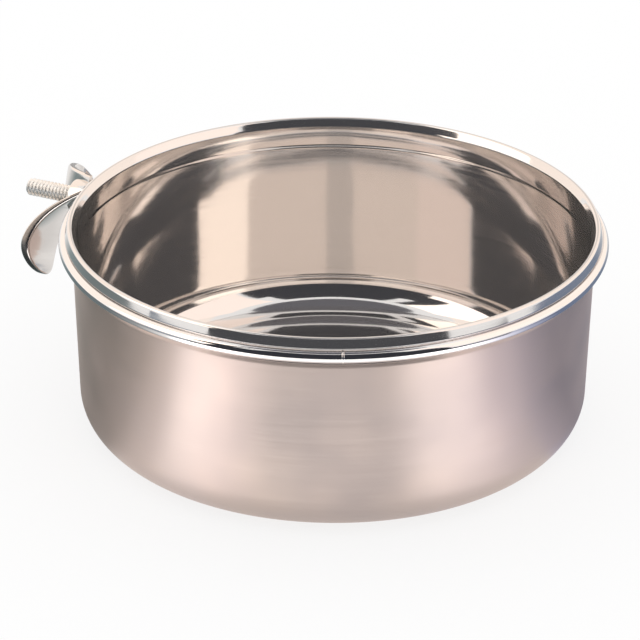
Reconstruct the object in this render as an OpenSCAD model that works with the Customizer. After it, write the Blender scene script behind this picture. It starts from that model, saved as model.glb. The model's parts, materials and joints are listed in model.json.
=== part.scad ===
// Round stainless steel seed cup with a wire ring holder that screws to cage bars.
// +Z is up and the origin is the centre of the cup's base, on the surface it stands on.

/* [Bowl] */
// Outer diameter of the curled rim
rim_d = 140; // [130:1:160]
// Height of the bowl from its base to the top of the rim
bowl_h = 57; // [45:1:80]
// Thickness of the steel sheet
sheet_t = 0.7; // [0.5:0.1:0.9]
// Width of the bead along the top of the curled rim
rim_w = 1.6; // [1.5:0.1:1.9]
// Height of the curled rim
rim_h = 2.8; // [2.2:0.1:3.4]
// How far the rim's outer side leans in from upright, above its lower edge
rim_side_lean = 17; // [5:1:25]
// How far the rim's inner side leans outwards from upright
rim_lean = 30; // [25:1:50]
// Height of the groove under the rim that the ring sits in
groove_h = 4.9; // [4.4:0.1:7]
// How far the wall stands back in that groove
groove_depth = 0.4; // [0.2:0.1:0.7]
// How far the widest part of the wall stands back from the rim's edge
wall_inset = 1.9; // [1.8:0.1:3]
// How far the wall narrows from there down to the bottom corner
wall_draft = 1; // [0:0.1:4]
// Outer radius of the bottom corner
corner_r = 11; // [6:0.5:20]

/* [Ring] */
// Diameter of the ring's wire
wire_d = 3.2; // [2.6:0.1:4]
// Gap between the ring and the widest part of the bowl's wall
ring_gap = 0.3; // [0.2:0.05:0.6]
// Gap between the ring and the rim that rests on it
rim_gap = 0.15; // [0.1:0.05:0.3]
// Width of the butt weld in the wire
weld_w = 0.8; // [0.5:0.1:1.5]
// How far the butt weld stands out of the wire
weld_rise = 0.1; // [0.05:0.01:0.15]
// Direction of the butt weld from the centre, seen from above
weld_angle = 272; // [180:1:300]

/* [Bolt] */
// Outer diameter of the thread
bolt_d = 4.8; // [4:0.1:5.5]
// Pitch of the thread
thread_pitch = 1.06; // [0.8:0.01:1.2]
// Depth of the thread
thread_depth = 0.5; // [0.3:0.05:0.6]
// Length of the bolt outside the wire's centreline
bolt_reach = 21.3; // [18:0.1:30]
// Length of the lead at the bolt's tip, up to which the thread runs
lead_l = 4.5; // [2:0.5:8]
// How far the bolt is sunk into the wire where it is welded on
weld_sink = 0.3; // [0.1:0.05:0.5]
// Direction that the bolt points in, seen from above
bolt_angle = 155; // [90:1:180]

/* [Washer] */
// Outer diameter of the washer
washer_d = 10; // [9:0.5:11]
// Thickness of the washer
washer_t = 1; // [0.8:0.1:1.2]
// Gap on each side of the washer
washer_gap = 0.1; // [0.05:0.05:0.2]

/* [Wing nut] */
// Outer diameter of the nut's hub
hub_d = 9; // [8:0.2:10]
// Length of the nut's hub
hub_h = 4.6; // [4:0.2:6]
// Radial clearance round the bolt in the nut and in the washer
thread_gap = 0.06; // [0.02:0.01:0.1]
// How far the nut is turned from level
nut_turn = 21.5; // [0:0.5:90]
// Angle that each ear slants down at
ear_slant = 59.4; // [30:0.2:70]
// Direction that each ear bends away from the hub in, measured down from level
ear_bend_angle = 43.2; // [20:0.2:60]
// Thickness of the ears, along the bolt
ear_t = 2.6; // [2:0.1:3]
// Length of an ear from its root to its round end
ear_l = 26.9; // [22:0.1:30]
// Half the width of an ear at its root
ear_root_r = 2.5; // [2:0.1:3.5]
// Half the width of an ear at its round end
ear_end_r = 8.7; // [6:0.1:10]
// Height of the ears' roots above the bolt's axis
ear_root_up = 5.1; // [3.5:0.1:5.5]
// Distance along the ear from the hub to its furthest bulge
ear_crest_run = 15.2; // [12:0.1:18]
// Height of the ear above the hub's face, level with the bolt's axis
ear_root_rise = 1.5; // [1.3:0.1:3]
// Height of the ear's furthest bulge above the hub's face
ear_crest_rise = 13.1; // [8:0.1:16]

/* [Hidden] */
$fn = 96;
overrun = 1;
quarter_turn = 90;
curve_steps = 24;

// Bowl: outer radii from the rim down
rim_r = rim_d / 2;
rim_in_r = rim_r - rim_w;
wall_top_r = rim_r - wall_inset;
groove_r = wall_top_r - groove_depth;
wall_foot_r = wall_top_r - wall_draft;
rim_bottom_z = bowl_h - rim_h;
groove_top_z = rim_bottom_z - (rim_w - sheet_t);
groove_bottom_z = rim_bottom_z - groove_h;
wall_top_z = groove_bottom_z - 2 * groove_depth;
rim_round_r = rim_w / 2;
rim_edge_r = sheet_t / 2;
rim_edge_at = [rim_r - rim_edge_r, rim_bottom_z + rim_edge_r];
rim_top_z = bowl_h - rim_round_r;
rim_top_r = rim_edge_at[0] + (rim_edge_r - rim_round_r
    - (rim_top_z - rim_edge_at[1]) * sin(rim_side_lean)) / cos(rim_side_lean);
corner_in_r = corner_r - sheet_t;
groove_in_r = groove_r - sheet_t;
rim_slope_top_r = rim_top_r - rim_round_r * cos(rim_lean);
rim_slope_top_z = rim_top_z + rim_round_r * sin(rim_lean);
rim_slope_foot_z = rim_slope_top_z - (rim_slope_top_r - groove_in_r) / tan(rim_lean);

// Ring
wire_r = wire_d / 2;
ring_r = wall_top_r + ring_gap + wire_r;
ring_z = rim_bottom_z - rim_gap - wire_r;

// Bolt: it crosses under the wire, from just clear of the wall to its tip
bolt_r = bolt_d / 2;
bolt_z = ring_z - wire_r - bolt_r + weld_sink;
bolt_in = wire_r;
bolt_l = bolt_in + bolt_reach;
thread_count = floor((bolt_reach - lead_l - wire_r) / thread_pitch);
thread_start = bolt_l - lead_l - thread_count * thread_pitch;
root_share = 0.15;
flank_share = 0.275;

// Washer and wing nut: places along the bolt, from the wire's centreline
washer_at = wire_r + washer_gap;
nut_at = washer_at + washer_t + washer_gap;
bore_r = bolt_r + thread_gap;
ear_reach = ear_l + ear_root_up;
ear_mid = ear_l - ear_end_r;
ear_taper = asin((ear_end_r - ear_root_r) / ear_mid);

// Points on an arc round a centre, from one angle to another
function arc(centre, radius, from, to) =
    [for (i = [0:curve_steps])
        let (a = from + (to - from) * i / curve_steps)
        centre + radius * [cos(a), sin(a)]];

// Outline of the ear's bend: its height over the hub's face at a distance from the hub
function ear_rise(run) =
    ear_crest_rise - (ear_crest_rise - ear_root_rise) * pow((run - ear_crest_run) / ear_crest_run, 2);

// The drawn bowl: base, corner, wall, groove and curled rim, turned as one sheet
module bowl() {
    color("lightgray") rotate_extrude($fn = 180) polygon(concat(
        // outside, from the middle of the base to the rim
        [[0, 0]],
        arc([wall_foot_r - corner_r, corner_r], corner_r, -quarter_turn, 0),
        [[wall_top_r, wall_top_z],
         [groove_r, groove_bottom_z],
         [groove_r, groove_top_z],
         [rim_in_r + sheet_t / 2, rim_bottom_z]],
        arc(rim_edge_at, rim_edge_r, -quarter_turn, rim_side_lean),
        // over the top of the rim, which slopes down on both sides
        arc([rim_top_r, rim_top_z], rim_round_r, rim_side_lean, 2 * quarter_turn - rim_lean),
        // inside, back down to the middle of the base
        [[groove_in_r, rim_slope_foot_z],
         [groove_in_r, groove_bottom_z],
         [wall_top_r - sheet_t, wall_top_z]],
        arc([wall_foot_r - corner_r, corner_r], corner_in_r, 0, -quarter_turn),
        [[0, sheet_t]]));
}

// Round wire bent into a hoop, with the flash of its butt weld
module holder_ring() {
    color("silver") {
        translate([0, 0, ring_z]) rotate_extrude($fn = 180) translate([ring_r, 0]) circle(wire_r);
        translate([0, 0, ring_z]) rotate([0, 0, weld_angle]) translate([ring_r, 0, 0])
            rotate([quarter_turn, 0, 0]) cylinder(h = weld_w, r = wire_r + weld_rise, center = true);
    }
}

// Puts its children on the bolt's axis, +Z outwards, starting at the wire's centreline
module on_bolt() {
    rotate([0, 0, bolt_angle]) translate([ring_r, 0, bolt_z]) rotate([0, quarter_turn, 0])
        rotate([0, 0, quarter_turn]) children();
}

// Threaded rod welded across the underside of the wire, with a groove for each turn of thread
module bolt() {
    root = root_share * thread_pitch;
    flank = flank_share * thread_pitch;
    color("gainsboro") difference() {
        on_bolt() translate([0, 0, -bolt_in]) rotate_extrude() polygon(concat(
            [[0, 0], [bolt_r, 0]],
            [for (i = [0:thread_count - 1])
                let (z = thread_start + i * thread_pitch)
                each [[bolt_r, z],
                      [bolt_r - thread_depth, z + flank],
                      [bolt_r - thread_depth, z + flank + root],
                      [bolt_r, z + flank + root + flank]]],
            [[bolt_r, bolt_l - thread_depth],
             [bolt_r - thread_depth, bolt_l],
             [0, bolt_l]]));
        translate([0, 0, ring_z]) rotate_extrude($fn = 180) translate([ring_r, 0]) circle(wire_r);
    }
}

// Flat washer between the ring and the nut
module washer() {
    color("silver") on_bolt() translate([0, 0, washer_at]) difference() {
        cylinder(h = washer_t, d = washer_d);
        translate([0, 0, -overrun]) cylinder(h = washer_t + 2 * overrun, r = bore_r);
    }
}

// Flat outline of one ear, along +X from its root, with a round end
module ear_outline() {
    circle(ear_root_r);
    translate([ear_mid, 0]) circle(ear_end_r);
    polygon([
        [-ear_root_r * sin(ear_taper), ear_root_r * cos(ear_taper)],
        [ear_mid - ear_end_r * sin(ear_taper), ear_end_r * cos(ear_taper)],
        [ear_mid - ear_end_r * sin(ear_taper), -ear_end_r * cos(ear_taper)],
        [-ear_root_r * sin(ear_taper), -ear_root_r * cos(ear_taper)]]);
}

// One ear: its outline cut from a strip that is bent outwards and over
module ear() {
    runs = [for (i = [0:curve_steps]) -ear_root_up + (ear_reach + ear_root_up) * i / curve_steps];
    intersection() {
        linear_extrude(ear_crest_rise + ear_t + overrun)
            translate([0, ear_root_up]) rotate(-ear_slant) ear_outline();
        rotate([0, 0, -ear_bend_angle]) rotate([quarter_turn, 0, 0])
            linear_extrude(2 * ear_reach, center = true) polygon(concat(
                [for (run = runs) [run, ear_rise(run) - ear_t / 2]],
                [for (i = [len(runs) - 1:-1:0]) [runs[i], ear_rise(runs[i]) + ear_t / 2]]));
    }
}

// Pressed wing nut: a round hub and two alike ears, one each side
module wing_nut() {
    color("silver") on_bolt() translate([0, 0, nut_at]) rotate([0, 0, -nut_turn]) difference() {
        union() {
            cylinder(h = hub_h, d = hub_d);
            ear();
            mirror([1, 0, 0]) ear();
        }
        translate([0, 0, -overrun]) cylinder(h = hub_h + ear_reach, r = bore_r);
    }
}

bowl();
holder_ring();
bolt();
washer();
wing_nut();
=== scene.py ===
"""Dresses the seed cup: a drawn steel bowl in a wire ring, with its bolt, washer and wing nut.

Pieces are modelled in millimetres and put into the frame in metres. +Z is up, the origin is the
centre of the bowl's base, and the camera looks along +Y.
"""

import json
from math import asin, cos, degrees, hypot, radians, sin, tan

import bmesh
import bpy
from mathutils import Matrix, Vector


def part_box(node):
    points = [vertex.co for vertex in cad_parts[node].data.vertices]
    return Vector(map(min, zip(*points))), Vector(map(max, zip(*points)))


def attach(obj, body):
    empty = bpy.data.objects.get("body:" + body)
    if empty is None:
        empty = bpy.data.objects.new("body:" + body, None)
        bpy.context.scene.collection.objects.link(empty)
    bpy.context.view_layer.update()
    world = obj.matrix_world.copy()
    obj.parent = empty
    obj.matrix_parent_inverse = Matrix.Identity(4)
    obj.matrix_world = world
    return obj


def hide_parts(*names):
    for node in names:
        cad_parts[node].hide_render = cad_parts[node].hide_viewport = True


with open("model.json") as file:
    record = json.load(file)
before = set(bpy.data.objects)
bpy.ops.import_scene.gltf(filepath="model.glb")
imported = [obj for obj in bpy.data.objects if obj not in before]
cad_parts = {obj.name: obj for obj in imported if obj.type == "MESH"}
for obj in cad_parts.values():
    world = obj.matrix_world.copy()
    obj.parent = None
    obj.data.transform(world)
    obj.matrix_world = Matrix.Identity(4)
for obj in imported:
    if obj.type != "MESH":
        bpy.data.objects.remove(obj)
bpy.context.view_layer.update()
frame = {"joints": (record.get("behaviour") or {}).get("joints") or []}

MM = 0.001
ORIGIN = Vector((0, 0, 0))
UP = Vector((0, 0, 1))

# Sizes below are in millimetres and angles in degrees
QUARTER_TURN = 90
HALF_TURN = 180
FULL_TURN = 360

# Sizes that the frame gives
bowl_low, bowl_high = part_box("bowl")
RIM_R = bowl_high.x / MM
BOWL_H = bowl_high.z / MM
ring_low, ring_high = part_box("holder_ring")
RING_Z = (ring_low.z + ring_high.z) / 2 / MM
NUT_JOINT = next(joint for joint in frame["joints"] if joint["name"] == "nut_turn")
BOLT_OUT = Vector(NUT_JOINT["axis"])
BOLT_Z = NUT_JOINT["pos_m"][2] / MM

# Bowl
SHEET = 0.7
RIM_W = 1.6
RIM_H = 2.8
# The round of the rim's lower edge, and how far its outer and inner sides lean from upright
RIM_LIP_R = 0.35
RIM_SIDE_LEAN = 17
RIM_LEAN = 30
GROOVE_H = 4.9
GROOVE_DEPTH = 0.4
# How far the wall's top stands inside the rim, and its foot inside its top
WALL_INSET = 1.9
WALL_DRAFT = 1.0
CORNER_R = 11.0
CREASE_R = 0.35
TURN_STEPS = 256
CORNER_STEPS = 20
LIP_STEPS = 8
RIM_STEPS = 20

# Ring
WIRE_R = 1.6
RING_GAP = 0.3
WELD_ANGLE = 272
WELD_W = 0.8
WELD_RISE = 0.1
WIRE_STEPS = 48

# Bolt, whose thread has a flat crest, two flanks and a flat root
BOLT_R = 2.4
PITCH = 1.06
THREAD_DEPTH = 0.5
THREAD_CREST = 0.15 * PITCH
THREAD_FLANK = 0.35 * PITCH
BOLT_REACH = 21.3
THREAD_STEPS = 48
# Turns swept beyond the rod's length, so that both of its ends can be cut square
SPARE_TURNS = 3

# Washer
WASHER_R = 5.0
WASHER_T = 1.0
WASHER_EDGE_R = WASHER_T / 6
SLIP = 0.1
BORE_R = 2.46
SMALL_STEPS = 96

# Wing nut, whose ears start beside the hub and lean from its face's level line
HUB_R = 4.5
HUB_H = 4.6
HUB_EDGE_R = 0.4
BORE_FLARE = 0.5
NUT_TURN = 21.5
EAR_SLANT = 59.4
EAR_BEND_ANGLE = 43.2
EAR_T = 2.6
EAR_L = 26.9
EAR_ROOT_R = 2.5
EAR_END_R = 8.7
EAR_ROOT_UP = 5.1
EAR_CREST_RUN = 15.2
EAR_ROOT_RISE = 1.5
EAR_CREST_RISE = 13.1
EAR_EDGE_R = 0.75
EAR_STRIP = 1.2
EAR_END_STEPS = 48
EAR_ROOT_STEPS = 16
# An ear's edge turns more than this, and climbs less than this share of the ear's thickness
EDGE_TURN = 40
EDGE_CLIMB = 0.9
# A face that leans less than this from upright belongs to the sheared side of an ear, whose darker
# colour is painted shade
SHEARED_TILT = 0.3

# Modelling: where a flat stretch ends before its corner, so that its shading stays flat, and
# how close points are merged and planes are cut
HOLD = 0.4
ROUND_SEGMENTS = 4
MERGE_DIST = 1e-4
CUT_DIST = 1e-5

# Places that follow from them
WALL_TOP_R = RIM_R - WALL_INSET
GROOVE_R = WALL_TOP_R - GROOVE_DEPTH
WALL_FOOT_R = WALL_TOP_R - WALL_DRAFT
BASE_FLAT_R = WALL_FOOT_R - CORNER_R
RIM_IN_R = RIM_R - RIM_W
RIM_BOTTOM_Z = BOWL_H - RIM_H
RIM_ROUND_R = RIM_W / 2
GROOVE_TOP_Z = RIM_BOTTOM_Z - (RIM_W - SHEET)
GROOVE_BOTTOM_Z = RIM_BOTTOM_Z - GROOVE_H
WALL_TOP_Z = GROOVE_BOTTOM_Z - 2 * GROOVE_DEPTH
RIM_TOP_Z = BOWL_H - RIM_ROUND_R
RIM_SIDE_H = RIM_TOP_Z - RIM_BOTTOM_Z - RIM_LIP_R
RIM_TOP_R = RIM_R - RIM_LIP_R + (
    RIM_LIP_R - RIM_ROUND_R - RIM_SIDE_H * sin(radians(RIM_SIDE_LEAN))
) / cos(radians(RIM_SIDE_LEAN))
RIM_SLOPE_R = RIM_TOP_R - RIM_ROUND_R * cos(radians(RIM_LEAN))
RIM_SLOPE_Z = RIM_TOP_Z + RIM_ROUND_R * sin(radians(RIM_LEAN))
RIM_FOOT_Z = RIM_SLOPE_Z - (RIM_SLOPE_R - GROOVE_R + SHEET) / tan(radians(RIM_LEAN))
RING_R = WALL_TOP_R + RING_GAP + WIRE_R
WASHER_AT = WIRE_R + SLIP
NUT_AT = WASHER_AT + WASHER_T + SLIP


# Meshes

def on_profile(radius, height):
    """A point of a turned piece's outline."""
    return Vector((radius, 0, height))


def everything(bm):
    """All that a mesh operator can work on."""
    return bm.verts[:] + bm.edges[:] + bm.faces[:]


def pen_down(bm, point):
    """The outline's first vertex."""
    return bmesh.ops.create_vert(bm, co=point)["vert"][0]


def draw_to(bm, tip, point):
    """A straight line from the outline's last vertex."""
    vert = bmesh.ops.extrude_vert_indiv(bm, verts=[tip])["verts"][0]
    vert.co = point
    return vert


def draw_corners(bm, tip, corners):
    """Straight lines through corners given as radius and height; gives back their vertices."""
    drawn = []
    for radius, height in corners:
        tip = draw_to(bm, tip, on_profile(radius, height))
        drawn.append(tip)
    return drawn


def draw_held(bm, tip, point, hold):
    """A straight line with a vertex near each end, so that shading stays flat between them."""
    start = tip.co.copy()
    step = (point - start).normalized() * hold
    tip = draw_to(bm, tip, start + step)
    tip = draw_to(bm, tip, point - step)
    return draw_to(bm, tip, point)


def draw_arc(bm, tip, centre, turn, steps, axis=(0, -1, 0)):
    """An arc round a centre, anticlockwise in the outline's plane."""
    swept = bmesh.ops.spin(bm, geom=[tip], cent=centre, axis=axis, angle=radians(turn), steps=steps)
    return swept["geom_last"][0]


def soften(bm, corners, radius, segments=ROUND_SEGMENTS):
    """Rounds chosen corners of an outline."""
    bmesh.ops.bevel(bm, geom=corners, offset=radius, segments=segments, profile=0.5,
                    affect="VERTICES", material=-1)


def turn_round(bm, steps):
    """Turns the outline once round the upright axis and closes the seam and the poles."""
    bmesh.ops.spin(bm, geom=everything(bm), cent=ORIGIN, axis=UP, angle=radians(FULL_TURN),
                   steps=steps, use_merge=True)
    bmesh.ops.remove_doubles(bm, verts=bm.verts, dist=MERGE_DIST)
    bmesh.ops.recalc_face_normals(bm, faces=bm.faces)


def cut_level(bm, height, side):
    """Cuts away all that lies above a level, or below it where side is -1."""
    bmesh.ops.bisect_plane(bm, geom=everything(bm), dist=CUT_DIST, plane_co=UP * height,
                           plane_no=UP * side, clear_outer=True)


def close_holes(bm):
    """Fills the loops that a cut leaves open."""
    bmesh.ops.holes_fill(bm, edges=[edge for edge in bm.edges if edge.is_boundary])


def join(bm, other):
    """Adds another bmesh's faces to a bmesh."""
    spare = bpy.data.meshes.new("spare")
    other.to_mesh(spare)
    other.free()
    bm.from_mesh(spare)
    bpy.data.meshes.remove(spare)


def combine(body, tool, operation):
    """Unites or cuts one closed bmesh with another, and gives back the result."""
    pair = []
    for source in (body, tool):
        mesh = bpy.data.meshes.new("operand")
        source.to_mesh(mesh)
        source.free()
        pair.append(bpy.data.objects.new("operand", mesh))
        bpy.context.collection.objects.link(pair[-1])
    step = pair[0].modifiers.new(operation.lower(), "BOOLEAN")
    step.operation = operation
    step.solver = "MANIFOLD"
    step.object = pair[1]
    result = bmesh.new()
    result.from_object(pair[0], bpy.context.evaluated_depsgraph_get())
    for operand in pair:
        bpy.data.objects.remove(operand)
    return result


def make_piece(name, bm, finishes, sharp_above=35, place=Matrix.Identity(4)):
    """Puts a mesh made in millimetres into the frame, in metres, with its place in the mesh."""
    mesh = bpy.data.meshes.new(name)
    bm.to_mesh(mesh)
    bm.free()
    mesh.transform(Matrix.Scale(MM, 4) @ place)
    for finish in finishes:
        mesh.materials.append(finish)
    mesh.shade_smooth()
    mesh.set_sharp_from_angle(angle=radians(sharp_above))
    piece = bpy.data.objects.new(name, mesh)
    bpy.context.collection.objects.link(piece)
    return piece


# Materials

# Noise seldom leaves this part of its range from 0 to 1
NOISE_LOW = 0.3
NOISE_HIGH = 0.7


def linear(hex_colour):
    """An sRGB hex colour as the linear RGBA that the shaders take."""
    parts = [int(hex_colour[i:i + 2], 16) / 255 for i in (1, 3, 5)]
    return [c / 12.92 if c <= 0.04045 else ((c + 0.055) / 1.055) ** 2.4 for c in parts] + [1]


def add_node(tree, kind, inputs=None, **settings):
    """Adds a node with its settings; an input is a value or another node's output to link."""
    node = tree.nodes.new(kind)
    for key, value in settings.items():
        setattr(node, key, value)
    for socket, value in (inputs or {}).items():
        if isinstance(value, bpy.types.NodeSocket):
            tree.links.new(value, node.inputs[socket])
        else:
            node.inputs[socket].default_value = value
    return node


def empty_material(name):
    """A material with no nodes yet."""
    material = bpy.data.materials.new(name)
    material.use_nodes = True
    material.node_tree.nodes.clear()
    return material


def new_material(name):
    """A metal with its Principled shader wired to the output."""
    material = empty_material(name)
    tree = material.node_tree
    shader = add_node(tree, "ShaderNodeBsdfPrincipled", {"Metallic": 1.0})
    add_node(tree, "ShaderNodeOutputMaterial", {"Surface": shader.outputs["BSDF"]})
    return material, tree, shader


def feed(tree, shader, sources):
    """Links patterns to a shader's sockets."""
    for socket, source in sources.items():
        tree.links.new(source, shader.inputs[socket])


def scaled(tree, source, millimetres):
    """A coordinate that grows by one in a number of millimetres."""
    return add_node(tree, "ShaderNodeMath", {0: source, 1: 1 / (millimetres * MM)},
                    operation="MULTIPLY").outputs[0]


def turned_coordinates(tree, along, across):
    """Object coordinates stretched round the bowl's axis.

    A pattern made on them has one feature per `along` millimetres round the axis and one per
    `across` millimetres up the wall or out along the base, and no seam.
    """
    place = add_node(tree, "ShaderNodeTexCoord").outputs["Object"]
    split = add_node(tree, "ShaderNodeSeparateXYZ", {0: place})
    flat = add_node(tree, "ShaderNodeCombineXYZ", {0: split.outputs["X"], 1: split.outputs["Y"]})
    radius = add_node(tree, "ShaderNodeVectorMath", {0: flat.outputs[0]}, operation="LENGTH")
    path = add_node(tree, "ShaderNodeMath",
                    {0: split.outputs["Z"], 1: radius.outputs["Value"]}, operation="ADD")
    return add_node(tree, "ShaderNodeCombineXYZ",
                    {0: scaled(tree, split.outputs["X"], along),
                     1: scaled(tree, split.outputs["Y"], along),
                     2: scaled(tree, path.outputs[0], across)}).outputs[0]


def turned_noise(tree, along, across, detail):
    """Noise on the turned coordinates."""
    place = turned_coordinates(tree, along, across)
    return add_node(tree, "ShaderNodeTexNoise",
                    {"Vector": place, "Scale": 1.0, "Detail": detail}).outputs["Fac"]


def spread(tree, source, low, high):
    """Maps noise to a range."""
    return add_node(tree, "ShaderNodeMapRange",
                    {"Value": source, "From Min": NOISE_LOW, "From Max": NOISE_HIGH,
                     "To Min": low, "To Max": high}).outputs["Result"]


def satin_steel():
    """Stainless steel, belt-brushed on the lathe: soft, with highlights drawn out up the wall."""
    material, tree, shader = new_material("satin_stainless_steel")
    # Brush lines are about 0.1 mm apart on the real wall, drawn at 0.5 mm so that they show
    lines = turned_noise(tree, along=30, across=0.5, detail=3.0)
    # Handling leaves cloudy patches about 25 mm across
    clouds = turned_noise(tree, along=25, across=25, detail=2.0)
    tint = add_node(tree, "ShaderNodeMix",
                    {"Factor": spread(tree, clouds, 0, 1),
                     "A": linear("#DDCAC0"), "B": linear("#D8C8C2")}, data_type="RGBA")
    worn = add_node(tree, "ShaderNodeMath",
                    {0: spread(tree, lines, 0.36, 0.40), 1: spread(tree, clouds, -0.03, 0.05)},
                    operation="ADD")
    relief = add_node(tree, "ShaderNodeBump",
                      {"Height": lines, "Strength": 0.06, "Distance": 0.02 * MM})
    grain = add_node(tree, "ShaderNodeTangent", direction_type="RADIAL", axis="Z")
    shader.inputs["Anisotropic"].default_value = 0.9
    # A quarter turn, because the brush lines run round the wall and spread the light up it
    shader.inputs["Anisotropic Rotation"].default_value = 0.25
    feed(tree, shader, {"Base Color": tint.outputs["Result"], "Roughness": worn.outputs[0],
                        "Normal": relief.outputs["Normal"], "Tangent": grain.outputs["Tangent"]})
    return material


def mirror_steel():
    """Stainless steel buffed to a mirror, a little uneven from drawing, so reflections waver."""
    material, tree, shader = new_material("buffed_stainless_steel")
    # The press leaves shallow waves about 18 mm long
    waves = turned_noise(tree, along=18, across=22, detail=1.0)
    # The buff leaves fine rings about 0.4 mm apart, drawn at 0.8 mm so that they show
    rings = turned_noise(tree, along=40, across=0.8, detail=2.0)
    swell = add_node(tree, "ShaderNodeBump",
                     {"Height": waves, "Strength": 0.3, "Distance": 0.25 * MM})
    relief = add_node(tree, "ShaderNodeBump",
                      {"Height": rings, "Strength": 0.04, "Distance": 0.01 * MM,
                       "Normal": swell.outputs["Normal"]})
    # Fine scratches and a dry film scatter about a twentieth of the light
    shader.inputs["Metallic"].default_value = 0.95
    shader.inputs["Base Color"].default_value = linear("#E8E4E1")
    feed(tree, shader, {"Roughness": spread(tree, rings, 0.05, 0.10),
                        "Normal": relief.outputs["Normal"]})
    return material


def bright_steel(name, base, smooth, dull, dapple):
    """A polished or plated small part: bright, with a dapple of duller spots, given in mm."""
    material, tree, shader = new_material(name)
    place = add_node(tree, "ShaderNodeTexCoord").outputs["Object"]
    spots = add_node(tree, "ShaderNodeTexNoise",
                     {"Vector": place, "Scale": 1 / (dapple * MM), "Detail": 3.0}).outputs["Fac"]
    relief = add_node(tree, "ShaderNodeBump",
                      {"Height": spots, "Strength": 0.08, "Distance": 0.02 * MM})
    shader.inputs["Base Color"].default_value = linear(base)
    feed(tree, shader, {"Roughness": spread(tree, spots, smooth, dull),
                        "Normal": relief.outputs["Normal"]})
    return material


# Bowl

def draw_rim(bm, tip):
    """The curled rim: its lip, leaning outer side and round top, and the slope down inside."""
    lip_r = RIM_R - RIM_LIP_R
    top = on_profile(RIM_TOP_R, RIM_TOP_Z)
    side_top = Matrix.Rotation(-radians(RIM_SIDE_LEAN), 3, "Y") @ on_profile(RIM_ROUND_R, 0)
    tip = draw_to(bm, tip, on_profile(lip_r, RIM_BOTTOM_Z))
    tip = draw_arc(bm, tip, on_profile(lip_r, RIM_BOTTOM_Z + RIM_LIP_R),
                   QUARTER_TURN + RIM_SIDE_LEAN, LIP_STEPS)
    tip = draw_held(bm, tip, top + side_top, HOLD / 2)
    tip = draw_arc(bm, tip, top, HALF_TURN - RIM_LEAN - RIM_SIDE_LEAN, RIM_STEPS)
    return draw_held(bm, tip, on_profile(GROOVE_R - SHEET, RIM_FOOT_Z), HOLD)


def make_bowl():
    """The drawn sheet: one outline turned round, satin outside and buffed inside and on the rim."""
    bm = bmesh.new()
    tip = pen_down(bm, on_profile(0, 0))
    tip = draw_held(bm, tip, on_profile(BASE_FLAT_R, 0), HOLD)
    tip = draw_arc(bm, tip, on_profile(BASE_FLAT_R, CORNER_R), QUARTER_TURN, CORNER_STEPS)
    wall_top = draw_held(bm, tip, on_profile(WALL_TOP_R, WALL_TOP_Z), HOLD)
    groove_bottom, groove_top, rim_edge = draw_corners(
        bm, wall_top, ((GROOVE_R, GROOVE_BOTTOM_Z), (GROOVE_R, GROOVE_TOP_Z),
                       (RIM_IN_R + SHEET / 2, RIM_BOTTOM_Z)))
    rim_foot = draw_rim(bm, rim_edge)
    inner = draw_corners(bm, rim_foot, ((GROOVE_R - SHEET, GROOVE_BOTTOM_Z),
                                        (WALL_TOP_R - SHEET, WALL_TOP_Z)))
    tip = draw_held(bm, inner[-1], on_profile(WALL_FOOT_R - SHEET, CORNER_R), HOLD)
    tip = draw_arc(bm, tip, on_profile(BASE_FLAT_R, CORNER_R), -QUARTER_TURN, CORNER_STEPS)
    draw_held(bm, tip, on_profile(0, SHEET), HOLD)
    soften(bm, [wall_top, groove_bottom, groove_top, rim_foot] + inner, CREASE_R)
    turn_round(bm, TURN_STEPS)
    for face in bm.faces:
        centre = face.calc_center_median()
        outward = Vector((centre.x, centre.y, 0)).normalized() - UP
        satin = centre.z < GROOVE_BOTTOM_Z and face.normal.dot(outward) > 0
        face.material_index = 0 if satin else 1
    return make_piece("drawn_bowl", bm, [satin_steel(), mirror_steel()])


# Ring

def across_wire():
    """Lays what is made round +Z round the ring's wire, at +X."""
    return (Matrix.Translation(on_profile(RING_R, RING_Z))
            @ Matrix.Rotation(radians(QUARTER_TURN), 4, "X"))


def make_weld():
    """The slight bead of the ring's butt weld, once round the wire."""
    bm = bmesh.new()
    sunk = WIRE_R - WELD_RISE
    crest = WIRE_R + WELD_RISE
    tip = pen_down(bm, on_profile(sunk, -WELD_W / 2))
    rise, fall, _ = draw_corners(bm, tip, ((crest, -WELD_W / 4), (crest, WELD_W / 4),
                                           (sunk, WELD_W / 2)))
    soften(bm, [rise, fall], WELD_RISE)
    turn_round(bm, WIRE_STEPS)
    close_holes(bm)
    bmesh.ops.recalc_face_normals(bm, faces=bm.faces)
    place = Matrix.Rotation(radians(WELD_ANGLE), 4, "Z") @ across_wire()
    bmesh.ops.transform(bm, matrix=place, verts=bm.verts)
    return bm


def make_ring():
    """The wire hoop, with its weld."""
    bm = bmesh.new()
    bmesh.ops.create_circle(bm, segments=WIRE_STEPS, radius=WIRE_R, matrix=across_wire())
    turn_round(bm, TURN_STEPS)
    join(bm, make_weld())
    # Drawn wire, polished: a near mirror
    finish = bright_steel("polished_wire", "#F0ECEA", smooth=0.05, dull=0.10, dapple=1.5)
    return make_piece("wire_ring", bm, [finish], sharp_above=50)


# Bolt and washer

def on_bolt():
    """Turns a piece made along +Z from the wire's centreline on to the bolt's axis."""
    toward_viewer = UP.cross(BOLT_OUT)
    turn = Matrix((toward_viewer, UP, BOLT_OUT)).transposed().to_4x4()
    return Matrix.Translation(BOLT_OUT * RING_R + UP * BOLT_Z) @ turn


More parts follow.
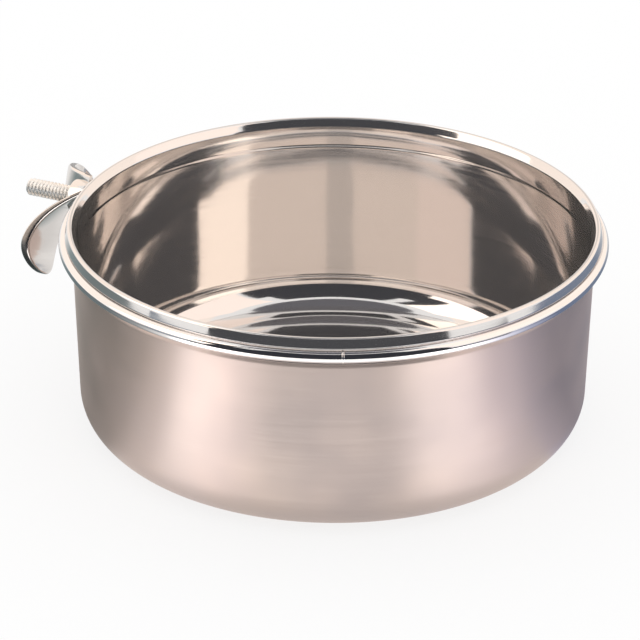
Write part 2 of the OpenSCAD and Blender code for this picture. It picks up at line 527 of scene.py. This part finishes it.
def make_bolt():
    """The threaded rod: one groove swept along a helix, cut square, with a chamfered tip."""
    bm = bmesh.new()
    root_r = BOLT_R - THREAD_DEPTH
    draw_corners(bm, pen_down(bm, on_profile(BOLT_R, 0)),
                 ((BOLT_R, THREAD_CREST), (root_r, THREAD_CREST + THREAD_FLANK),
                  (root_r, PITCH - THREAD_FLANK), (BOLT_R, PITCH)))
    turns = int((BOLT_REACH + WIRE_R) / PITCH) + SPARE_TURNS
    bmesh.ops.spin(bm, geom=everything(bm), cent=ORIGIN, axis=UP, dvec=UP * PITCH / THREAD_STEPS,
                   angle=radians(FULL_TURN) * turns, steps=THREAD_STEPS * turns)
    bmesh.ops.remove_doubles(bm, verts=bm.verts, dist=MERGE_DIST)
    lead = (SPARE_TURNS - 1) * PITCH
    bmesh.ops.translate(bm, verts=bm.verts, vec=UP * (-WIRE_R - lead))
    cut_level(bm, -WIRE_R, -1)
    cut_level(bm, BOLT_REACH, 1)
    close_holes(bm)
    for vert in bm.verts:
        radius = hypot(vert.co.x, vert.co.y)
        limit = root_r + BOLT_REACH - vert.co.z
        if radius > limit:
            vert.co.x *= limit / radius
            vert.co.y *= limit / radius
    bmesh.ops.recalc_face_normals(bm, faces=bm.faces)
    # Rolled thread under bright zinc: pale, with its fine marks blurring what it mirrors
    finish = bright_steel("bright_zinc_thread", "#F4F4F2", smooth=0.30, dull=0.42, dapple=0.8)
    return make_piece("threaded_bolt", bm, [finish], sharp_above=30, place=on_bolt())


def make_washer():
    """A plain stamped washer with eased edges."""
    bm = bmesh.new()
    start = pen_down(bm, on_profile(BORE_R, WASHER_AT))
    top = WASHER_AT + WASHER_T
    corners = [start] + draw_corners(bm, start, ((WASHER_R, WASHER_AT), (WASHER_R, top),
                                                 (BORE_R, top)))
    bm.edges.new((corners[-1], start))
    soften(bm, corners, WASHER_EDGE_R, segments=3)
    turn_round(bm, SMALL_STEPS)
    # Stamped steel under bright zinc: a soft shine
    finish = bright_steel("bright_zinc_washer", "#DEDEDC", smooth=0.16, dull=0.26, dapple=0.8)
    return make_piece("plain_washer", bm, [finish], place=on_bolt())


# Wing nut

def make_hub():
    """The round hub, still solid, with eased edges."""
    bm = bmesh.new()
    low, high, _ = draw_corners(bm, pen_down(bm, on_profile(0, 0)),
                                ((HUB_R, 0), (HUB_R, HUB_H), (0, HUB_H)))
    soften(bm, [low, high], HUB_EDGE_R)
    turn_round(bm, SMALL_STEPS)
    return bm


def make_bore():
    """The cutter for the nut's hole, flared at both faces of the hub."""
    bm = bmesh.new()
    beyond = EAR_L
    draw_corners(bm, pen_down(bm, on_profile(0, -BORE_FLARE)),
                 ((BORE_R + 2 * BORE_FLARE, -BORE_FLARE), (BORE_R, BORE_FLARE),
                  (BORE_R, HUB_H - BORE_FLARE), (BORE_R + BORE_FLARE, HUB_H),
                  (BORE_R + BORE_FLARE, beyond), (0, beyond)))
    turn_round(bm, SMALL_STEPS)
    return bm


def ear_outline():
    """The ear laid flat: tapered, with a round end, and slanted away from the hub."""
    bm = bmesh.new()
    middle = EAR_L - EAR_END_R
    taper = asin((EAR_END_R - EAR_ROOT_R) / middle)
    root = Vector((-sin(taper), -cos(taper), 0)) * EAR_ROOT_R
    end = Vector((middle, 0, 0)) + root.normalized() * EAR_END_R
    tip = draw_to(bm, pen_down(bm, root), end)
    tip = draw_arc(bm, tip, (middle, 0, 0), HALF_TURN + 2 * degrees(taper), EAR_END_STEPS, axis=UP)
    tip = draw_to(bm, tip, Vector((root.x, -root.y, 0)))
    draw_arc(bm, tip, ORIGIN, HALF_TURN - 2 * degrees(taper), EAR_ROOT_STEPS, axis=UP)
    bmesh.ops.remove_doubles(bm, verts=bm.verts, dist=MERGE_DIST)
    bmesh.ops.contextual_create(bm, geom=bm.edges[:])
    place = Matrix.Translation((0, EAR_ROOT_UP, 0)) @ Matrix.Rotation(radians(-EAR_SLANT), 4, "Z")
    bmesh.ops.transform(bm, matrix=place, verts=bm.verts)
    return bm


def ear_rise(run):
    """Height of the bent ear over the hub's face, at a distance from the hub."""
    fall = (EAR_CREST_RISE - EAR_ROOT_RISE) * ((run - EAR_CREST_RUN) / EAR_CREST_RUN) ** 2
    return EAR_CREST_RISE - fall


def bend_ear(bm):
    """Cuts the flat ear into strips across its bend and raises each point to its height."""
    bend = Vector((cos(radians(EAR_BEND_ANGLE)), -sin(radians(EAR_BEND_ANGLE)), 0))
    runs = [vert.co.dot(bend) for vert in bm.verts]
    run = min(runs) + EAR_STRIP
    while run < max(runs):
        bmesh.ops.bisect_plane(bm, geom=everything(bm), dist=CUT_DIST, plane_co=bend * run,
                               plane_no=bend)
        run += EAR_STRIP
    for vert in bm.verts:
        vert.co.z = ear_rise(vert.co.dot(bend)) - EAR_T / 2


def is_ear_edge(edge):
    """Whether an edge parts a face of the thick ear from its side."""
    if len(edge.link_faces) != 2:
        return False
    climb = abs(edge.verts[0].co.z - edge.verts[1].co.z)
    return edge.calc_face_angle() > radians(EDGE_TURN) and climb < EAR_T * EDGE_CLIMB


def make_ear():
    """One ear: flat, then bent outwards and over, thickened, its edges rounded, cut at the hub."""
    bm = ear_outline()
    bend_ear(bm)
    top = bmesh.ops.extrude_face_region(bm, geom=bm.faces[:], use_keep_orig=True)["geom"]
    raised = [item for item in top if isinstance(item, bmesh.types.BMVert)]
    bmesh.ops.translate(bm, verts=raised, vec=UP * EAR_T)
    bmesh.ops.recalc_face_normals(bm, faces=bm.faces)
    bmesh.ops.bevel(bm, geom=[edge for edge in bm.edges if is_ear_edge(edge)], offset=EAR_EDGE_R,
                    segments=ROUND_SEGMENTS, profile=0.5, affect="EDGES", material=-1)
    cut_level(bm, 0, -1)
    close_holes(bm)
    return bm


def make_wing_nut():
    """The pressed nut: hub and two ears in one, bored through."""
    nut = make_hub()
    for side in (1, -1):
        ear = make_ear()
        bmesh.ops.scale(ear, vec=(side, 1, 1), verts=ear.verts)
        bmesh.ops.recalc_face_normals(ear, faces=ear.faces)
        nut = combine(nut, ear, "UNION")
    nut = combine(nut, make_bore(), "DIFFERENCE")
    nut.normal_update()
    for face in nut.faces:
        centre = face.calc_center_median()
        past_hub = hypot(centre.x, centre.y) > HUB_R
        face.material_index = 1 if past_hub and abs(face.normal.z) < SHEARED_TILT else 0
    # Pressed steel under bright zinc: a near mirror. The sheared sides of the ears are duller than
    # their faces, and their darker base colour is painted shade
    finishes = [
        bright_steel("bright_zinc_nut", "#EAE4DF", smooth=0.08, dull=0.16, dapple=1.2),
        bright_steel("sheared_zinc_edge_painted_shade", "#7A7673", smooth=0.22, dull=0.34, dapple=0.6),
    ]
    place = (on_bolt() @ Matrix.Translation(UP * NUT_AT)
             @ Matrix.Rotation(-radians(NUT_TURN), 4, "Z"))
    return make_piece("wing_nut_pressed", nut, finishes, place=place)


# Camera

# It looks down at the rim's centre from this angle and distance, and leans a little
VIEW_UP = radians(24.56)
VIEW_AWAY = 850
VIEW_ROLL = radians(0.38)
# Width of the frame where it passes through the rim's centre, and where that centre shows in it
FRAME_W = 166.6
RIM_CENTRE_RIGHT = 3.4
RIM_CENTRE_UP = 26.2
SENSOR_W = 36
VIEW_NEAREST = 10
VIEW_FARTHEST = 100000


def add_camera():
    """A long lens a little above the bowl, at the photograph's angle."""
    look = Vector((0, cos(VIEW_UP), -sin(VIEW_UP)))
    right = Vector((1, 0, 0))
    up = right.cross(look)
    rim_centre = UP * BOWL_H
    eye = rim_centre - look * VIEW_AWAY
    aim = rim_centre - right * RIM_CENTRE_RIGHT - up * RIM_CENTRE_UP
    back = (eye - aim).normalized()
    side = up.cross(back).normalized()
    rolled_up = Matrix.Rotation(VIEW_ROLL, 3, back) @ back.cross(side)
    turn = Matrix((rolled_up.cross(back), rolled_up, back)).transposed().to_4x4()
    data = bpy.data.cameras.new("camera")
    data.sensor_width = SENSOR_W
    data.lens = SENSOR_W * VIEW_AWAY / FRAME_W
    data.clip_start = VIEW_NEAREST * MM
    data.clip_end = VIEW_FARTHEST * MM
    camera = bpy.data.objects.new("camera", data)
    camera.matrix_world = Matrix.Translation(eye * MM) @ turn
    bpy.context.collection.objects.link(camera)
    bpy.context.scene.camera = camera


# Studio

WHITE = (1, 1, 1, 1)
FLOOR_R = 20000
# Share of plain white in what the camera sees of the floor; the rest keeps the bowl's shadow
FLOOR_LIFT = 0.78

# Directions round the bowl start behind the camera, and + is to its right. Each panel has a start,
# an end, the lowest and the highest angle over level, a colour, a level and a distance.
DARK = "#34363C"
WARM = "#FFF2E8"
PANEL_AWAY = 1600
PANELS = (
    # Dark surroundings behind the camera, as the bowl mirrors them
    ("dark_front", -50, 46, 2, 50, DARK, 1.0, PANEL_AWAY),
    ("dark_high_front", -40, 38, 50, 66, DARK, 1.0, PANEL_AWAY),
    ("dark_corner", -62, -50, 32, 66, DARK, 1.0, PANEL_AWAY - 10),
    # The table's edge before the bowl, dim where it meets the side light
    ("dark_table_edge", -50, 46, 0, 14, DARK, 1.0, 240),
    ("dim_left_edge", -68, -50, 0, 14, "#8F97A2", 1.0, 240),
    ("dim_right_edge", 46, 64, 0, 14, "#7C7C84", 1.0, 240),
    # Soft lights on both sides, and pale screens behind the bowl
    ("left_panel", -100, -50, 15, 66, "#FFF3E8", 2.0, PANEL_AWAY),
    ("right_panel", 48, 102, 15, 66, "#FFEFE6", 1.3, PANEL_AWAY),
    ("back_screen", 162, 187, 5, 62, "#E8DFD8", 1.05, PANEL_AWAY),
    ("left_back_panel", 187, 260, 5, 62, WARM, 1.18, PANEL_AWAY),
    ("right_back_panel", 102, 162, 5, 62, WARM, 1.18, PANEL_AWAY),
    ("ceiling", 0, 360, 72, 90, "#66666C", 1.0, PANEL_AWAY + 100),
)
PANEL_RISE_STEPS = 12
PANEL_TURN_STEPS = 24

# The table's light card: it lies just over the floor, and within these distances from the bowl's
# axis the bowl's own shade takes over
TABLE_NEAR = 60
TABLE_FAR = 1500
TABLE_LIFT = 0.5
SHADE_FULL = 75
SHADE_NONE = 95
SHADE_LEVEL = 0.75
# Light on the table by direction, as red, green and blue, with the brightest that the card takes.
# These were set step by step, until the bands on the satin wall came near the colours measured at 22
# places across them in the photograph. They are a fit to that one view.
TABLE_TOP = 3
TABLE_LEVELS = (
    # Behind the bowl, and round to its dim left side
    (-179, 0.9, 0.9, 0.9),
    (-138, 0.9, 0.9, 0.9),
    (-126, 0.24, 0.3, 0.31),
    (-110, 0.16, 0.2, 0.21),
    (-86, 0.16, 0.19, 0.2),
    (-70, 0.34, 0.36, 0.37),
    # Brightest towards the front left
    (-56, 0.95, 0.95, 0.95),
    (-50, 2.3, 2.3, 2.3),
    (-36, 2.4, 2.3, 2.3),
    # Less bright towards the camera
    (-20, 1.5, 1.5, 1.48),
    (0, 1.4, 1.4, 1.4),
    (18, 1.35, 1.35, 1.35),
    # Bright again towards the front right
    (30, 2.1, 2.1, 2.15),
    (44, 1.95, 1.95, 2.05),
    (56, 1.0, 1.0, 1.15),
    # The dim, bluish right side, and round to the back again
    (70, 0.45, 0.48, 0.62),
    (86, 0.16, 0.2, 0.3),
    (125, 0.2, 0.25, 0.34),
    (150, 0.8, 0.8, 0.8),
    (179, 0.9, 0.9, 0.9),
)


def add_world():
    """White all round, for the camera, in the metal and as the light on the floor."""
    world = bpy.data.worlds.new("white_studio")
    world.use_nodes = True
    tree = world.node_tree
    tree.nodes.clear()
    white = add_node(tree, "ShaderNodeBackground", {"Color": WHITE, "Strength": 1.0})
    add_node(tree, "ShaderNodeOutputWorld", {"Surface": white.outputs[0]})
    bpy.context.scene.world = world


def add_floor():
    """A white painted table, quite matt, that keeps the bowl's soft shadow."""
    bm = bmesh.new()
    bmesh.ops.create_circle(bm, cap_ends=True, segments=64, radius=FLOOR_R)
    material = empty_material("white_table")
    tree = material.node_tree
    paint = add_node(tree, "ShaderNodeBsdfPrincipled",
                     {"Metallic": 0.0, "Roughness": 0.9, "Specular IOR Level": 0.0,
                      "Base Color": WHITE})
    rays = add_node(tree, "ShaderNodeLightPath")
    shown = add_node(tree, "ShaderNodeMath",
                     {0: rays.outputs["Is Camera Ray"], 1: rays.outputs["Is Glossy Ray"]},
                     operation="MAXIMUM")
    seen = add_node(tree, "ShaderNodeMath",
                    {0: shown.outputs[0], 1: rays.outputs["Is Transmission Ray"]},
                    operation="MAXIMUM")
    lift = add_node(tree, "ShaderNodeMath", {0: seen.outputs[0], 1: FLOOR_LIFT},
                    operation="MULTIPLY")
    white = add_node(tree, "ShaderNodeEmission", {"Color": WHITE, "Strength": 1.0})
    lifted = add_node(tree, "ShaderNodeMixShader",
                      {0: lift.outputs[0], 1: paint.outputs["BSDF"], 2: white.outputs[0]})
    add_node(tree, "ShaderNodeOutputMaterial", {"Surface": lifted.outputs[0]})
    make_piece("floor", bm, [material])


def glow_material(name):
    """A material that only glows, and its emission node."""
    material = empty_material(name)
    tree = material.node_tree
    glow = add_node(tree, "ShaderNodeEmission")
    add_node(tree, "ShaderNodeOutputMaterial", {"Surface": glow.outputs[0]})
    return material, glow


def sweep_card(bm, start, end):
    """Sweeps a card's edge, drawn towards the camera, between two directions round the bowl."""
    bmesh.ops.rotate(bm, verts=bm.verts, cent=ORIGIN, matrix=Matrix.Rotation(radians(start), 3, "Z"))
    bmesh.ops.spin(bm, geom=everything(bm), cent=ORIGIN, axis=UP, angle=radians(end - start),
                   steps=PANEL_TURN_STEPS)


def hang_card(name, bm, material):
    """A card that shows in the metal alone: the camera, the floor and shadows pass it by."""
    card = make_piece(name, bm, [material])
    card.visible_camera = False
    card.visible_diffuse = False
    card.visible_shadow = False


def add_panel(name, start, end, low, high, colour, level, distance):
    """A curved panel round the bowl."""
    bm = bmesh.new()
    foot = Matrix.Rotation(-radians(low), 3, "X") @ Vector((0, -distance, 0))
    draw_arc(bm, pen_down(bm, foot), ORIGIN, high - low, PANEL_RISE_STEPS, axis=(-1, 0, 0))
    sweep_card(bm, start, end)
    material, glow = glow_material(name)
    glow.inputs["Color"].default_value = linear(colour)
    glow.inputs["Strength"].default_value = level
    hang_card(name, bm, material)


def table_ramp(tree, place):
    """The table's light by direction round the bowl."""
    turned = add_node(tree, "ShaderNodeMapping",
                      {"Vector": place, "Rotation": (0, 0, radians(QUARTER_TURN))})
    round_bowl = add_node(tree, "ShaderNodeTexGradient", {"Vector": turned.outputs[0]},
                          gradient_type="RADIAL")
    ramp = add_node(tree, "ShaderNodeValToRGB", {"Fac": round_bowl.outputs["Fac"]})
    stops = ramp.color_ramp.elements
    for direction, red, green, blue in TABLE_LEVELS:
        stop = stops.new(0.5 + direction / FULL_TURN)
        stop.color = (red / TABLE_TOP, green / TABLE_TOP, blue / TABLE_TOP, 1)
    # The two stops that a new ramp starts with
    stops.remove(stops[0])
    stops.remove(stops[-1])
    return ramp.outputs["Color"]


def add_table_card():
    """A flat card round the bowl, bright towards both front corners and dim at both sides."""
    bm = bmesh.new()
    inner_edge = pen_down(bm, Vector((0, -TABLE_NEAR, TABLE_LIFT)))
    draw_to(bm, inner_edge, Vector((0, -TABLE_FAR, TABLE_LIFT)))
    sweep_card(bm, 0, FULL_TURN)
    material, glow = glow_material("table_card")
    tree = material.node_tree
    place = add_node(tree, "ShaderNodeTexCoord").outputs["Object"]
    away = add_node(tree, "ShaderNodeVectorMath", {0: place}, operation="LENGTH")
    close = add_node(tree, "ShaderNodeMapRange",
                     {"Value": away.outputs["Value"], "From Min": SHADE_NONE * MM,
                      "From Max": SHADE_FULL * MM})
    shade = SHADE_LEVEL / TABLE_TOP
    level = add_node(tree, "ShaderNodeMix",
                     {"Factor": close.outputs["Result"], "A": table_ramp(tree, place),
                      "B": (shade, shade, shade, 1)}, data_type="RGBA", blend_type="DARKEN")
    tree.links.new(level.outputs["Result"], glow.inputs["Color"])
    glow.inputs["Strength"].default_value = TABLE_TOP
    hang_card("table_card", bm, material)


def add_studio():
    """White room with a dark front, where the camera stands, and a lit panel on each side."""
    add_world()
    add_floor()
    for panel in PANELS:
        add_panel(*panel)
    add_table_card()


# Each piece: its CAD node, the body that it rides on, its material slot and what makes it
PIECES = (
    ("bowl", "bowl", "bowl_steel", make_bowl),
    ("holder_ring", "holder", "ring_steel", make_ring),
    ("bolt", "holder", "bolt_zinc", make_bolt),
    ("washer", "washer", "washer_zinc", make_washer),
    ("wing_nut", "wing_nut", "nut_zinc", make_wing_nut),
)


def dress():
    """Makes each piece, in place of its plain solid."""
    for node, body, slot, make in PIECES:
        piece = make()
        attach(piece, body)
        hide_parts(node)


bpy.context.scene.view_settings.view_transform = "Standard"
add_camera()
dress()
add_studio()

bpy.context.view_layer.update()
